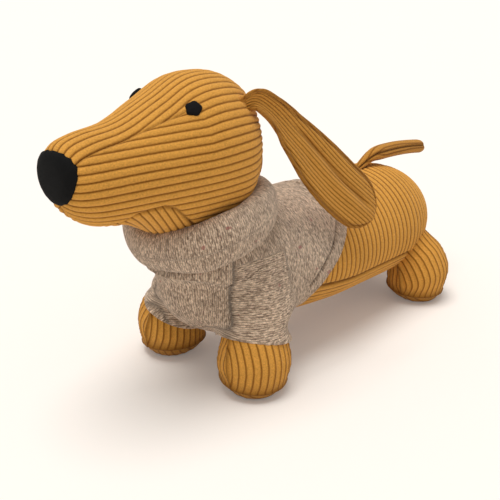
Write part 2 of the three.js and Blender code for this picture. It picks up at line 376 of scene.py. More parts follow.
def torso_full(x):
    """Middle height, half width and half height of the torso without its rounded ends."""
    back = smooth(x, 0, TORSO_LENGTH * 0.55)
    return (
        blend(CHEST_AXIS, RUMP_AXIS, back),
        blend(SHOULDER_WIDTH, RUMP_WIDTH, back) / 2 - 9 * smooth(x, 45, 0),
        blend(SHOULDER_HEIGHT, RUMP_HEIGHT, back) / 2,
    )


def ring(centre, across, upwards, half_width, half_height, angle):
    """Points of oval sections: the near side at angle 0 and the top at a quarter turn."""
    wide = half_width[:, None] * np.cos(angle)[None]
    high = half_height[:, None] * np.sin(angle)[None]
    return centre[:, None] - across[:, None] * wide[..., None] + upwards[:, None] * high[..., None]


def level(x, z, half_width, half_height, angle):
    """Oval sections that stand upright across the dog."""
    centre = np.stack([x, np.zeros_like(x), z], -1)
    across = np.broadcast_to((0.0, 1, 0), centre.shape)
    upwards = np.broadcast_to((0.0, 0, 1), centre.shape)
    return ring(centre, across, upwards, half_width, half_height, angle)


BELLY_TUCK, GUSSET_HALF_WIDTH = 4.0, 55.5


def belly_tuck(x):
    """How far the belly is drawn up between the legs."""
    return BELLY_TUCK * hump(x, 115, 80)


def torso_share(x):
    """How much of the full section is left by the rounded chest and rump."""
    return end_share(x, CHEST_ROUND) * end_share(TORSO_LENGTH - x, RUMP_ROUND)


def torso_grid(x, angle):
    z, half_width, half_height = torso_full(x)
    share = np.maximum(torso_share(x), 0.02)
    points = level(x, z, half_width * share, half_height * share, angle)
    points[..., 2] += belly_tuck(x)[:, None] * share[:, None] * np.maximum(-np.sin(angle), 0)
    return points


def angles(count):
    """Even steps of a full turn."""
    return np.arange(count) * 2 * np.pi / count


COARSE_GRID = 44, 56


def filled(form, rows, fine_rows, fine_angle, held, cap, slack):
    """A form pressed out by its filling: simulated coarsely, and read at the fine places."""
    coarse_rows, columns = COARSE_GRID
    coarse = form(rows(coarse_rows), angles(columns))
    inward = coarse - normals(coarse) * slack
    move = plumped(inward, held(rows(coarse_rows), angles(columns), coarse), cap)
    line = np.interp(fine_rows, rows(coarse_rows), np.arange(coarse_rows))
    base = form(fine_rows, fine_angle)
    base = base - normals(base) * slack
    return base + sample(move, line, fine_angle / (2 * np.pi) * columns)


class DOORSTOP_OT_torso(bpy.types.Operator):
    """Sew and fill the long corduroy torso, with its side panels and belly gusset"""

    bl_idname = "doorstop.torso"
    bl_label = "Torso"

    def execute(self, context):
        def rows(count):
            def profile(x):
                return np.stack([x, torso_full(x)[2] * torso_share(x)], -1)
            return even_steps(profile, count, 0, TORSO_LENGTH)

        def gusset_width(x):
            return GUSSET_HALF_WIDTH * (1 - smooth(x, 205, 266))

        def seams(x, grid):
            below = arc_from(grid, 3 * grid.shape[1] // 4)
            above = arc_from(grid, grid.shape[1] // 4)
            return below, np.minimum(np.abs(below - gusset_width(x)[:, None]), above)

        def held(x, angle, grid):
            return sewn(seams(x, grid)[1], 3.5)

        x = rows(430)
        quarter = np.pi / 2
        belly = np.linspace(-2 * quarter + 0.06, -0.06, 110, endpoint=False)
        back = np.linspace(-0.06, 2 * quarter + 0.06, 120, endpoint=False)
        angle = np.concatenate([belly, back])
        base = filled(torso_grid, rows, x, angle, held, 2.0, 0.6)

        lowest = np.argmin(np.abs(angle + quarter))
        highest = np.argmin(np.abs(angle - quarter))
        below, above = arc_from(base, lowest), arc_from(base, highest)
        centre, half_width, half_height = torso_full(x)
        high = np.clip((base[..., 2] - centre[:, None]) / half_height[:, None], -1, 1)
        slice_share = np.sqrt(np.maximum(1 - high**2, 1e-4))
        rump_x = TORSO_LENGTH - RUMP_ROUND
        turn = np.arcsin(np.clip((x[:, None] - rump_x) / (RUMP_ROUND * slice_share), 0, 1))
        radius = (RUMP_ROUND + half_width[:, None]) / 2
        side = np.where(x[:, None] < rump_x, x[:, None], rump_x + radius * slice_share * turn)
        under = below < gusset_width(x)[:, None]
        sideways = np.sign(base[..., 1]) * below
        across = np.where(under, sideways, side)
        along = np.where(under, x[:, None] + 0 * below, below)
        seam = sewn(np.abs(below - gusset_width(x)[:, None])) + 0.45 * sewn(above, 1.2)
        covered("torso", *corded(base, across, along, np.clip(seam, 0, 1)), 0.95)
        return {"FINISHED"}


def head_sections(t):
    """Place, middle height, half width and half height of the head's sections."""
    along, rise, high, wide = np.moveaxis(through(HEAD_OUTLINE, t), -1, 0)
    return (
        HEAD_LENGTH * along - HEAD_OVERHANG,
        HEAD_AXIS + SKULL_HEIGHT * rise,
        SKULL_WIDTH * np.maximum(wide, 0.04) / 2,
        SKULL_HEIGHT * np.maximum(high, 0.04) / 2,
    )


def head_grid(t, angle):
    """Oval sections that hang down into the collar behind the jaw."""
    x, z, half_width, half_height = head_sections(t)
    points = level(x, z, half_width, half_height, angle)
    drop = 17 * smooth(x, -44, -2) * smooth(x, 66, 24)
    points[..., 2] -= drop[:, None] * np.maximum(-np.sin(angle), 0) ** 1.2
    return points


def head_rows(count):
    """Values of t that lie evenly along the head."""
    def profile(t):
        x, _, half_width, half_height = head_sections(t)
        return np.stack([x, (half_width + half_height) / 2], -1)
    return even_steps(profile, count)


EYE_X = 2.0
JAW_SEAM = (-58, -45, -36, -28, -20, -13, -4, 5), (81, 67, 68, 71, 79, 90, 104, 130)


def head_panels(t, grid):
    """The cloth coordinate across the ribs, along them, and the distance to the nearest seam."""
    x = head_sections(t)[0][:, None]
    columns = grid.shape[1]
    top, chin = arc_from(grid, columns // 4), arc_from(grid, 3 * columns // 4)
    side_line = HEAD_AXIS - 8.5
    near_half = np.arange(-(columns // 4), columns // 4 + 1)
    heights, arcs = grid[:, near_half, 2], top[:, near_half]
    reach = np.array([np.interp(side_line, z, arc) for z, arc in zip(heights, arcs)])[:, None]
    at_eye = np.interp(EYE_X, x[:, 0], reach[:, 0])
    dart = blend(18, 28, smooth(x, -45, EYE_X + 6))
    side = top - reach + at_eye
    crown = np.where(x < EYE_X, top, np.where(top < reach, top * at_eye / reach, side))
    across = np.where((top > dart) & (x < EYE_X), side, crown)
    jaw = np.interp(x, *JAW_SEAM)
    throat = top > jaw
    slant = np.sign(grid[..., 1]) * (chin + 0.68 * x) * 0.8
    across = np.where(throat, slant, across)
    fade = 0.35 * (1 - smooth(x, EYE_X - 14, EYE_X + 2))
    seam = sewn(top - dart, 1.0) * fade + 0.6 * sewn(top - jaw, 1.2)
    seam = seam + 0.6 * sewn(chin, 1.2) * (x < -50)
    return across + cloth_mm("wale_pitch") / 2, x + 0 * across, np.clip(seam, 0, 1)


class DOORSTOP_OT_head(bpy.types.Operator):
    """Sew and fill the head, from a crown gusset, two sides and a throat panel"""

    bl_idname = "doorstop.head"
    bl_label = "Head"

    def execute(self, context):
        def held(t, angle, grid):
            return head_panels(t, grid)[2]

        t = head_rows(220)
        base = filled(head_grid, head_rows, t, angles(360), held, 1.8, 0.5)
        across, along, seam = head_panels(t, base)
        covered("head", *corded(base, across, along, seam), 0.95)
        return {"FINISHED"}


class DOORSTOP_OT_neck(bpy.types.Operator):
    """Sew the tube of the neck, which the collar hides"""

    bl_idname = "doorstop.neck"
    bl_label = "Neck"

    def execute(self, context):
        rise = np.linspace(0, 1, 60)
        angle = angles(240)
        centre = np.stack(
            [NECK_X - NECK_LEAN * rise, 0 * rise, blend(CHEST_AXIS + 12, HEAD_AXIS - 28, rise)], -1
        )
        backwards = np.broadcast_to((-1.0, 0, 0), centre.shape)
        sideways = np.broadcast_to((0.0, 1, 0), centre.shape)
        radius = NECK_RADIUS - 0.4 - 9 * smooth(rise, 0.2, 0)
        base = ring(centre, sideways, backwards, radius, radius, angle)
        across = arc_round(base)[0]
        covered("neck", *corded(base, across, centre[:, None, 2] + 0 * across, 0 * across), 0.9)
        return {"FINISHED"}


FOOT, SOLE, TRACK, LEG_LEAN = 47, 26, 84, 17
FRONT_OUTLINE = (
    (0, SOLE / 2, 0), (0.06, FOOT * 0.385, 0), (0.155, FOOT * 0.475, 0.02),
    (0.28, FOOT * 0.515, 0.06), (0.4, FOOT * 0.485, 0.14), (0.5, FOOT * 0.43, 0.26),
    (0.66, FOOT * 0.36, 0.54), (1, FOOT * 0.33, 1),
)
REAR_OUTLINE = (
    (0, SOLE / 2, 0), (0.06, FOOT * 0.36, 0), (0.17, FOOT * 0.455, 0.02),
    (0.34, FOOT * 0.525, 0.08), (0.54, FOOT * 0.48, 0.26), (0.74, FOOT * 0.37, 0.56),
    (1, FOOT * 0.22, 1),
)
SOLE_PART, SOLE_SEAM_Z = 0.12, 9.5
LEGS = (("front", 34, 77, 10, FRONT_OUTLINE), ("rear", 232, 61.5, -8, REAR_OUTLINE))


def leg_axis(x, height, sweep, outline, t):
    """Middle, half width and axes of the near leg's sections."""
    rise, half, lean = np.moveaxis(through(outline, t), -1, 0)
    centre = np.stack([x + sweep * lean, -(TRACK / 2 - LEG_LEAN * lean), height * rise], -1)
    lean_way = unit(np.array([sweep, LEG_LEAN, height * 0.7]))
    way = unit(blend(np.array([0, 0, 1.0]), lean_way, smooth(t, 0, 0.6)[..., None]))
    forward = unit(np.array([-1.0, 0, 0]) + way * way[..., :1])
    return centre, half, way, forward, np.cross(way, forward)


def leg_grid(leg, t, angle):
    """Sections of the near leg. The outer side is at angle 0 and the front at a quarter turn."""
    centre, half, _, forward, inward = leg_axis(*leg, t)
    wide, deep = np.cos(angle)[None, :, None], np.sin(angle)[None, :, None]
    ways = forward[:, None] * deep - inward[:, None] * wide
    return centre[:, None] + half[:, None, None] * ways


class DOORSTOP_OT_legs(bpy.types.Operator):
    """Sew and fill the four legs, each from two side panels and a round sole"""

    bl_idname = "doorstop.legs"
    bl_label = "Legs"

    def execute(self, context):
        for end, *leg in LEGS:
            self.leg(end, leg)
        return {"FINISHED"}

    def leg(self, end, leg):
        x, height, _, outline = leg

        def form(t, angle):
            walls = leg_grid(leg, np.maximum(t, 0), angle)
            middle = np.array([x, -TRACK / 2, 0])
            share = np.clip(1 + t / SOLE_PART, 0.02, 1)[:, None, None]
            return middle + (walls - middle) * np.where(t[:, None, None] < 0, share, 1)

        def rows(count):
            def profile(t):
                rise, half, _ = np.moveaxis(through(outline, np.maximum(t, 0)), -1, 0)
                return np.stack([half * np.clip(1 + t / SOLE_PART, 0, 1), rise * height], -1)
            return even_steps(profile, count, -SOLE_PART, 1)

        def panels(t, angle, grid):
            outer = arc_from(grid, 0)
            inner = arc_from(grid, grid.shape[1] // 2)
            turn = np.broadcast_to(angle, outer.shape)
            side = np.where(np.cos(turn) > 0, outer, inner) * np.sign(np.sin(turn))
            gap = np.abs(outer - inner) / 2
            rise = grid[..., 2] - SOLE_SEAM_Z - 2.0 * np.cos(turn)
            sole = (rise < 0) | (t < 0)[:, None]
            across = np.where(sole, grid[..., 1] * 0.9 + grid[..., 0] * 0.4, side)
            along = np.where(sole, grid[..., 0], grid[..., 2])
            round_sole = sewn(np.where(t[:, None] < 0, 9, rise), 1.3)
            seam = 0.8 * sewn(gap, 1.2) * ~sole + 0.75 * round_sole
            off_sole = smooth(rise, 0, 9) * (t[:, None] >= 0)
            return across, along, np.clip(seam, 0, 1), blend(0.3, 1, off_sole)

        def held(t, angle, grid):
            return panels(t, angle, grid)[2]

        t, angle = rows(150), angles(216)
        base = filled(form, rows, t, angle, held, 1.0, 0.7)
        base[..., 2] = np.maximum(base[..., 2], 0.9)
        across, along, seam, share = panels(t, angle, base)
        points, marks = corded(base, across, along, seam, share)
        points[..., 2] = np.maximum(points[..., 2], 0.15)
        covered_pair(end + "_leg_{}", points, marks, 0.9)


EAR_ROOT = np.array([45, -31, 197.5])
EAR_TIP = np.array([141.3, -58, 99.5])
EAR_LENGTH, EAR_HIDDEN = 140, 13.0
EAR_LINE = (
    (0, (-12, 5, -6)), (0, (-1, 0, -1.5)), (0.1, (0.8, -1, 0.8)), (0.32, (0.4, 1, 0.4)),
    (0.68, (-1.2, 2, -1.2)), (1, (0, 0, 0)),
)
EAR_HALF_WIDTH = (
    (0, 0.08, 0.16, 0.25, 0.35, 0.45, 0.55, 0.66, 0.78, 0.9, 1),
    (10, 10.6, 11.4, 13, 15.4, 17.7, 19.3, 20.2, 20.2, 19.2, 17.5),
)
EAR_HALF_THICKNESS = (0, 0.15, 0.4, 0.8, 1), (1.9, 1.9, 2.8, 3.2, 2.2)
EAR_CURL = (0, 0.1, 0.25, 0.45, 1), (1.6, 1.4, 0.55, 0.16, 0.05)


class DOORSTOP_OT_ears(bpy.types.Operator):
    """Sew the long ears from two layers, pleated at the root and creased along their length"""

    bl_idname = "doorstop.ears"
    bl_label = "Ears"

    def execute(self, context):
        rows, columns = 190, 150
        along = unit(EAR_TIP - EAR_ROOT)
        upper = unit(np.cross((0, -1, 0.1), along))
        outer = np.cross(upper, along)
        outer *= -np.sign(outer[1])

        stations = [blend(EAR_ROOT, EAR_TIP, place) + shift for place, shift in EAR_LINE]
        even = even_steps(lambda place: through(stations, place), 800)
        share = np.linspace(0, 1, rows)
        share = blend(share, np.sin(share * np.pi / 2), 0.35)
        line = through(stations, np.interp(share, np.linspace(0, 1, 800), even))
        distance = share * (EAR_LENGTH + EAR_HIDDEN) - EAR_HIDDEN
        t = np.maximum(distance / EAR_LENGTH, 0)
        tangent = unit(np.gradient(line, axis=0))
        edge_way = unit(np.cross(tangent, outer))
        edge_way *= np.sign(edge_way @ upper)[:, None]
        face_way = np.cross(edge_way, tangent)
        face_way *= np.sign(face_way @ outer)[:, None]

        to_tip = EAR_LENGTH - distance
        root_share = blend(0.4, 1, smooth(distance, -EAR_HIDDEN, 5))
        half = np.interp(t, *EAR_HALF_WIDTH) * np.maximum(end_share(to_tip, 24), 0.03) * root_share
        thick = np.interp(t, *EAR_HALF_THICKNESS) * np.maximum(end_share(to_tip, 8), 0.1)
        curl = np.interp(t, *EAR_CURL)

        angle = angles(columns)
        v = np.broadcast_to(squarer(np.cos(angle), 0.8), (rows, columns))
        face = np.broadcast_to(squarer(np.sin(angle), 0.75), (rows, columns))
        s = t[:, None]
        crease = 0.12 + 0.22 * smooth(s, 1, 0.3)
        fold = hump(v, crease, 0.08) * smooth(s, 0.16, 0.4) * smooth(s, 0.97, 0.85)
        second = hump(v, -0.3 + 0.2 * s, 0.16) * smooth(s, 0.1, 0.3) * smooth(s, 0.75, 0.45)
        waves = 0.5 * np.sin(9 * s + 3 * v) * smooth(s, 0.1, 0.4)
        depth = -1.1 * fold - 0.5 * second + waves
        lift = 1.6 * hump(v, crease - 0.32, 0.2) * smooth(s, 0.25, 0.5) * smooth(s, 1.0, 0.8)
        bend = curl[:, None] * v
        radius = half[:, None] / np.maximum(curl[:, None], 0.02)
        shift = thick[:, None] * face
        out = shift + np.where(face > 0, depth + lift, 0.4 * depth + 0.4 * lift)
        place_edge = (radius - out) * np.sin(bend)
        place_face = radius - (radius - out) * np.cos(bend)
        base = (
            line[:, None] + edge_way[:, None] * place_edge[..., None]
            + face_way[:, None] * (place_face[..., None] - 1.0)
        )

        across = v * half[:, None] * 2.0 + 2.5
        rim = np.abs(np.abs(v) * half[:, None] - (half[:, None] - 2.3))
        # The seam mark also takes in part of the lengthwise fold: it pulls in the crease and flattens
        # its pile, and the material darkens it as painted shade in the crease.
        seam = np.clip(0.5 * sewn(rim, 0.8) + 0.3 * fold, 0, 1)
        if (normals(base)[rows // 2] * face_way[rows // 2] * face[rows // 2][:, None]).sum() < 0:
            base, across, seam, v = (grid[:, ::-1] for grid in (base, across, seam, v))
        share = smooth(np.abs(v), 0.98, 0.8)
        points, marks = corded(base, across, distance[:, None] + 0 * across, seam, 0.75 * share)
        covered_pair("ear_{}", points, marks, 0.3)
        return {"FINISHED"}


TAIL_X, TAIL_LENGTH, TAIL_WIDTH = 194, 93, 11.5


class DOORSTOP_OT_tail(bpy.types.Operator):
    """Sew the thin tail with its lengthwise seam, and set it in the back seam"""

    bl_idname = "doorstop.tail"
    bl_label = "Tail"

    def execute(self, context):
        t = np.linspace(0, 1, 150)
        t = blend(t, np.sin(t * np.pi / 2), 0.4)
        seat = RUMP_AXIS + RUMP_HEIGHT / 2 + TAIL_WIDTH / 2 + 1
        z = seat - 10 * smooth(t, 0.3, 0) - 8 * t * t + 1.2 * np.sin(np.pi * t)
        share = np.maximum(end_share(TAIL_LENGTH * (1 - t), TAIL_WIDTH / 2), 0.03)
        full = 0.35 + 0.72 * smooth(t, 0.02, 0.4) - 0.06 * smooth(t, 0.5, 0.9)
        half = TAIL_WIDTH / 2 * share * full
        angle = angles(72)
        base = level(TAIL_X + TAIL_LENGTH * t - 14 * (1 - t) ** 4, z, half, half * 0.96, angle)
        seam_column = 4
        closed = smooth(t, 1, 0.93)[:, None]
        seam = sewn(arc_from(base, seam_column), 1.1) * closed
        across = arc_from(base, 40) * 0.95
        along = TAIL_LENGTH * t[:, None] + 0 * across
        covered("tail", *corded(base, across, along, seam, 0.45 * closed), 0.8)
        return {"FINISHED"}


# Nose and eyes.


def head_field(points):
    """Below 0 inside the head and above 0 outside, in about millimetres."""
    t = np.linspace(0, 1, 900)
    x, z, half_width, half_height = head_sections(t)
    px = points[..., 0]
    zc, hw, hh = (np.interp(px, x, value) for value in (z, half_width, half_height))
    out = np.sqrt((points[..., 1] / hw) ** 2 + ((points[..., 2] - zc) / hh) ** 2) - 1
    beyond = np.maximum(x[0] - px, 0) + np.maximum(px - x[-1], 0)
    return out * np.minimum(hw, hh) + beyond


def on_head(starts, way):
    """Where lines from outside first meet the head."""
    reach, parts, halvings = 60.0, 240, 14
    high = np.full(starts.shape[:-1], reach)
    for step in np.linspace(0, reach, parts + 1)[::-1]:
        high = np.where(head_field(starts + way * step) < 0, step, high)
    low = high - reach / parts
    for _ in range(halvings):
        middle = (low + high) / 2
        inside = head_field(starts + way * middle[..., None]) < 0
        high, low = np.where(inside, middle, high), np.where(inside, low, middle)
    return starts + way * high[..., None]


def patch(node, name, centre, way, axes, halves, outline, rise, dome, dome_rows=0):
    """A satin-stitched patch that lies on the head, with its edge tucked down."""
    rows, columns = 34, 120
    (first, second), (half_first, half_second) = axes, halves
    share = np.linspace(0, 1, rows)
    angle = angles(columns)
    radius = outline(angle)
    flat = centre + (
        first * (np.cos(angle) * half_first * radius)[None, :, None]
        + second * (np.sin(angle) * half_second * radius)[None, :, None]
    ) * share[:, None, None]
    surface = on_head(flat, way)
    if dome_rows:
        rim, inner = surface[dome_rows], surface[dome_rows - 2]
        peak = (rim - (rim - inner) * dome_rows / 4).mean(axis=0)
        part = (np.arange(dome_rows) / dome_rows)[:, None, None]
        level_part = np.abs(way) * part**2 + (1 - np.abs(way)) * part
        surface[:dome_rows] = peak + (rim - peak) * level_part
    out = normals(surface)
    out[0] = out[1].mean(axis=0)
    if (out[rows // 2] @ way).mean() > 0:
        surface, out = surface[:, ::-1], -out[:, ::-1]
        flat = flat[:, ::-1]
    tuck = np.sqrt(np.maximum(1 - share**10, 0))
    lift = (rise * tuck + dome * (1 - share**2) - 1.2 * (1 - tuck))[:, None, None]
    top = surface + out * lift
    under = surface - out * 1.4
    run = np.concatenate([flat, flat[::-1]])
    piece = solid(name, np.concatenate([top, under[::-1]]), {"run": run})
    finished(piece, "black_thread", black_thread(), node)


class DOORSTOP_OT_nose(bpy.types.Operator):
    """Stitch the black nose patch over the end of the muzzle"""

    bl_idname = "doorstop.nose"
    bl_label = "Nose"

    def execute(self, context):
        def outline(angle):
            return 1 + 0.05 * np.sin(3 * angle + 0.4) + 0.012 * np.sin(17 * angle)

        middle = np.array([-110.0, 0, HEAD_AXIS - 2.0])
        back, sideways, up = np.eye(3)
        patch(
            "nose_patch", "nose_stitching", middle, back, (sideways, up), (17.6, 15.8),
            outline, rise=1.9, dome=0.2, dome_rows=18,
        )
        return {"FINISHED"}


class DOORSTOP_OT_eyes(bpy.types.Operator):
    """Stitch the two small black eyes"""

    bl_idname = "doorstop.eyes"
    bl_label = "Eyes"

    def execute(self, context):
        def outline(angle):
            return 1 + 0.07 * np.cos(5 * angle + 0.6)

        for name, side in SIDES:
            low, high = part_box(f"eye_{name}")
            middle = np.array((low + high) / 2) / MM - (CHEST_X, 0, 0)
            way = unit(np.array([0.12, -side * 0.62, -0.78]))
            first = unit(np.cross(way, (0, side, 0.3)))
            patch(
                f"eye_{name}", f"eye_{name}_stitching", middle - way * 20, way,
                (first, np.cross(way, first)), (5.0, 4.9), outline, rise=0.9, dome=0.9,
            )
        return {"FINISHED"}


# Jumper.


def soft_least(a, b, reach):
    """The lesser of two fields, with a smooth join."""
    share = np.clip(0.5 + 0.5 * (b - a) / reach, 0, 1)
    return blend(b, a, share) - reach * share * (1 - share)


def torso_field(points):
    """Below 0 inside the torso, in about millimetres, as for all the fields."""
    x, y, z = np.moveaxis(points, -1, 0)
    centre, half_width, half_height = torso_full(x)
    rump = np.maximum(x - TORSO_LENGTH + RUMP_ROUND, 0) / RUMP_ROUND
    ends = np.maximum(CHEST_ROUND - x, 0) / CHEST_ROUND + rump
    high = np.where(z < centre, half_height - belly_tuck(x), half_height)
    out = np.sqrt(ends**2 + (y / half_width) ** 2 + ((z - centre) / high) ** 2)
    size = np.minimum(half_width, half_height)
    return (out - 1) * size * (0.97 + 0.1 * np.minimum(ends, 1))


def neck_field(points):
    x, y, z = np.moveaxis(points, -1, 0)
    rise = np.clip((z - CHEST_AXIS) / (HEAD_AXIS - CHEST_AXIS), 0, 1.2)
    beside = np.hypot(x - NECK_X + NECK_LEAN * rise, y) - NECK_RADIUS
    return np.maximum(beside, CHEST_AXIS + 10 + 5 * smooth(x, 16, -6) - z)


def leg_field(points):
    """Distance out of the nearer front leg."""
    near = points * (1, -1, 1)
    near = np.where(points[..., 1:2] > 0, near, points)
    t = np.linspace(0.15, 1.25, 60)
    centre, half, way, _, _ = leg_axis(*LEGS[0][1:], np.minimum(t, 1))
    centre = centre + way * (np.maximum(t - 1, 0) * LEGS[0][2])[:, None]
    step = np.clip(np.interp(near[..., 2], centre[:, 2], np.arange(len(t))), 0, len(t) - 1.001)
    k = step.astype(int)
    w = (step - k)[..., None]
    middle = blend(centre[k], centre[k + 1], w)
    radius = blend(half[k], half[k + 1], w[..., 0])
    axis = way[k]
    off = near - middle
    off = off - axis * (off * axis).sum(-1, keepdims=True)
    return np.linalg.norm(off, axis=-1) - radius


BODY_EASE, SLEEVE_EASE, SLEEVE_BLEND, CUFF_RISE = 4.2, 4.2, 24.0, 40


def body_field(points):
    """Distance out of the jumper over torso and neck."""
    reach = blend(12, 34, smooth(points[..., 0], 22, 48) * smooth(points[..., 2], 98, 116))
    return soft_least(torso_field(points), neck_field(points), reach) - BODY_EASE


def sleeve_field(points):
    """Distance out of the nearer sleeve, which narrows to nothing in the shoulder."""
    z = points[..., 2]
    behind = smooth(points[..., 0], 26, 50)
    return leg_field(points) - SLEEVE_EASE - 4.5 * behind * smooth(z, 38, 54) + 30 * smooth(z, 52, 98)


def sleeve_reach(points):
    """How widely the sleeve flows into the body: tight at the cuff, wide at the shoulder."""
    return blend(4, SLEEVE_BLEND, smooth(points[..., 2], CUFF_RISE - 2, CUFF_RISE + 16))


def jumper_field(points):
    """Distance out of the whole jumper."""
    return soft_least(body_field(points), sleeve_field(points), sleeve_reach(points))


def slope(field, points):
    """A field's rise for each millimetre along x, y and z."""
    step = 0.2
    return np.stack(
        [(field(points + d) - field(points - d)) / (2 * step) for d in np.eye(3) * step], -1
    )


def drawn_to(field, points, level_at=0.0, rounds=5, reach=25.0):
    """Points moved along a field's slope to where the field has a value."""
    out = points.copy()
    for _ in range(rounds):
        way = slope(field, out)
        size = np.maximum((way**2).sum(-1, keepdims=True), 0.2)
        out = out - way * ((field(out) - level_at)[..., None] / size)
    move = out - points
    far = np.linalg.norm(move, axis=-1, keepdims=True)
    return points + move * np.minimum(far, reach) / np.maximum(far, 1e-9)


def ripples(points, size, seed):
    """Slow uneven waves, from a few fixed directions."""
    rng = np.random.default_rng(seed)
    out = 0
    for _ in range(7):
        way = rng.normal(size=3)
        way /= np.linalg.norm(way) * size
        out = out + np.sin(points @ way * 2 * np.pi + rng.uniform(0, 6.28))
    return out / 7


def cloth_waves(points):
    """The jumper's soft unevenness, the same on its body and its sleeves."""
    return 0.9 * ripples(points, 34, 3) + 0.35 * ripples(points, 13, 8)


def armhole_x(z):
    """Where the front seam of the armhole lies at a height."""
    return 20 - 5 * np.clip((72 - z) / 28, 0, 1)


def armhole(points):
    """1 on the seam between the chest panel and the side and sleeve, 0 away from it."""
    x, y, z = np.moveaxis(points, -1, 0)
    return sewn(x - armhole_x(z), 1.3) * smooth(z, 106, 92) * smooth(np.abs(y), 12, 20)


def knit_run(points):
    """Places across and along the stitches: upright on the chest, level on the sides and sleeves."""
    x, y, z = np.moveaxis(points, -1, 0)
    chest = x < armhole_x(z)
    sleeve = ~chest & (x < 62) & (z < 94)
    round_chest = 50 * np.arctan2(y, 52 - x)
    round_back = np.where(z > 62, 46 * np.arctan2(y, np.maximum(z - 62, 0)), np.sign(y) * (134 - z))
    across = np.where(chest, round_chest, np.where(sleeve, z, x))
    along = np.where(chest, z, np.where(sleeve, x, round_back))
    return np.stack([across, along, 0 * x], -1)


def distance_to_edge(points):
    """Distance along each column to the last row."""
    step = np.linalg.norm(np.diff(points, axis=0), axis=-1)
    return np.concatenate([np.cumsum(step[::-1], axis=0)[::-1], np.zeros((1, points.shape[1]))])


RIM_ROWS, INNER_EVERY = 5, 4


def cloth_wall(outer, run, seam):
    """A closed wall of knit: the outer grid, a rounded edge at its last row, and the inner face.
    The inner face has fewer rows. The marks are carried over the edge."""
    thickness = cloth_mm("knit_thickness")
    out = evened(normals(outer), 4)
    inner = outer - out * thickness
    edge_way = evened(outer[-1] - outer[-9], 6)
    turn = np.linspace(0, np.pi, RIM_ROWS + 2)[1:-1, None, None]
    middle = (outer[-1] + inner[-1]) / 2
    rim = middle + out[-1] * np.cos(turn) * thickness / 2 + edge_way * np.sin(turn) * thickness / 2
    marks = {
        key: np.concatenate([value, np.repeat(value[-1:], RIM_ROWS, axis=0), value[::-INNER_EVERY]])
        for key, value in (("run", run), ("seam", seam))
    }
    return np.concatenate([outer, rim, inner[::-INNER_EVERY]]), marks


def hem_x(z):
    """Where the hem lies at a height: it leans back, less so near the spine."""
    return 105 + 1.04 * (np.minimum(z, 100) - 69) + 0.35 * np.maximum(z - 100, 0)


# The body's rows lie in planes that fan out from a pivot over the back.
FAN_PIVOT, FAN_LAST_TILT, FAN_REACH, FAN_HALVINGS = np.array([163.0, 0, 150]), 51, 110.0, 24


class DOORSTOP_OT_jumper(bpy.types.Operator):
    """Knit the jumper's body, from the collar to its turned hem"""

    bl_idname = "doorstop.jumper"
    bl_label = "Jumper body"

    def execute(self, context):
        rows, columns = 170, 300
        first = np.array([-10.0, 0, 110]) - FAN_PIVOT
        tilt_first = np.arctan2(-first[2], -first[0])
        tilt = blend(tilt_first, np.radians(FAN_LAST_TILT), np.linspace(0, 1, rows))
        way = np.stack([-np.cos(tilt), 0 * tilt, -np.sin(tilt)], -1)
        low, high = np.array([self.crossings(w) for w in way]).T
        centre = FAN_PIVOT + way * ((low + high) / 2)[:, None]
        angle = angles(columns)
        ray = (
            way[:, None] * np.sin(angle)[None, :, None] * -1
            - np.array([0, 1.0, 0]) * np.cos(angle)[None, :, None]
        )
        near, far = np.zeros((rows, columns)), np.full((rows, columns), FAN_REACH)
        for _ in range(FAN_HALVINGS):
            middle = (near + far) / 2
            inside = body_field(centre[:, None] + ray * middle[..., None]) < 0
            near, far = np.where(inside, middle, near), np.where(inside, far, middle)
        points = centre[:, None] + ray * near[..., None]
        if (normals(points)[rows // 2] * ray[rows // 2]).sum() < 0:
            points = points[:, ::-1]

        points = self.to_hem(points)

        band = cloth_mm("hem_band")
        to_edge = distance_to_edge(points)
        seam = np.clip(sewn(to_edge - band, 1.3) + armhole(points), 0, 1)
        swell = cloth_waves(points) + 0.7 * smooth(to_edge, band, band - 3) - 1.1 * seam
        swell = swell - 2.0 * hump(collar_gap(points), 1, 4.0) - 1.5 * smooth(to_edge, 16, 1)
        run = knit_run(points)
        # Painted contact shade: the body's knit is darkened through its seam mark along the line
        # where the roll collar sits on it.
        crease = hump(collar_gap(points), -0.5, 2.6)
        points = points + normals(points) * swell[..., None]
        wall = cloth_wall(points, run, np.clip(seam + 0.9 * crease, 0, 1))
        piece = solid("jumper_body_knit", *wall, round_rows=True)
        finished(piece, "knit", knit(), "jumper_body")
        return {"FINISHED"}

    def crossings(self, way):
        """Where a line from the pivot leaves the jumper's form, and where it enters it."""
        steps = np.linspace(5, 230, 900)
        value = body_field(FAN_PIVOT + steps[:, None] * way)
        deepest = int(np.argmin(value))
        leave = np.interp(0, value[deepest:], steps[deepest:])
        return leave, np.interp(0, -value[: deepest + 1], steps[: deepest + 1])

    def to_hem(self, points):
        """Moves the last rows along the cloth so that the edge follows the hem."""
        last = points[-1]
        target = np.stack([hem_x(last[:, 2]), last[:, 1], last[:, 2]], -1)
        target = drawn_to(body_field, target)
        shift = target - last
        share = smooth(np.linspace(0, 1, len(points)), 0.25, 1.0)[:, None, None]
        moved = points + shift[None] * share
        free = (leg_field(moved) - BODY_EASE > 6) & (body_field(moved) > -6)
        pulled = drawn_to(body_field, moved)
        return np.where(free[..., None], blend(moved, pulled, share), moved)


SLEEVE_STEP, SLEEVE_STEPS, SLEEVE_LEAST_STEPS = 0.8, 130, 10


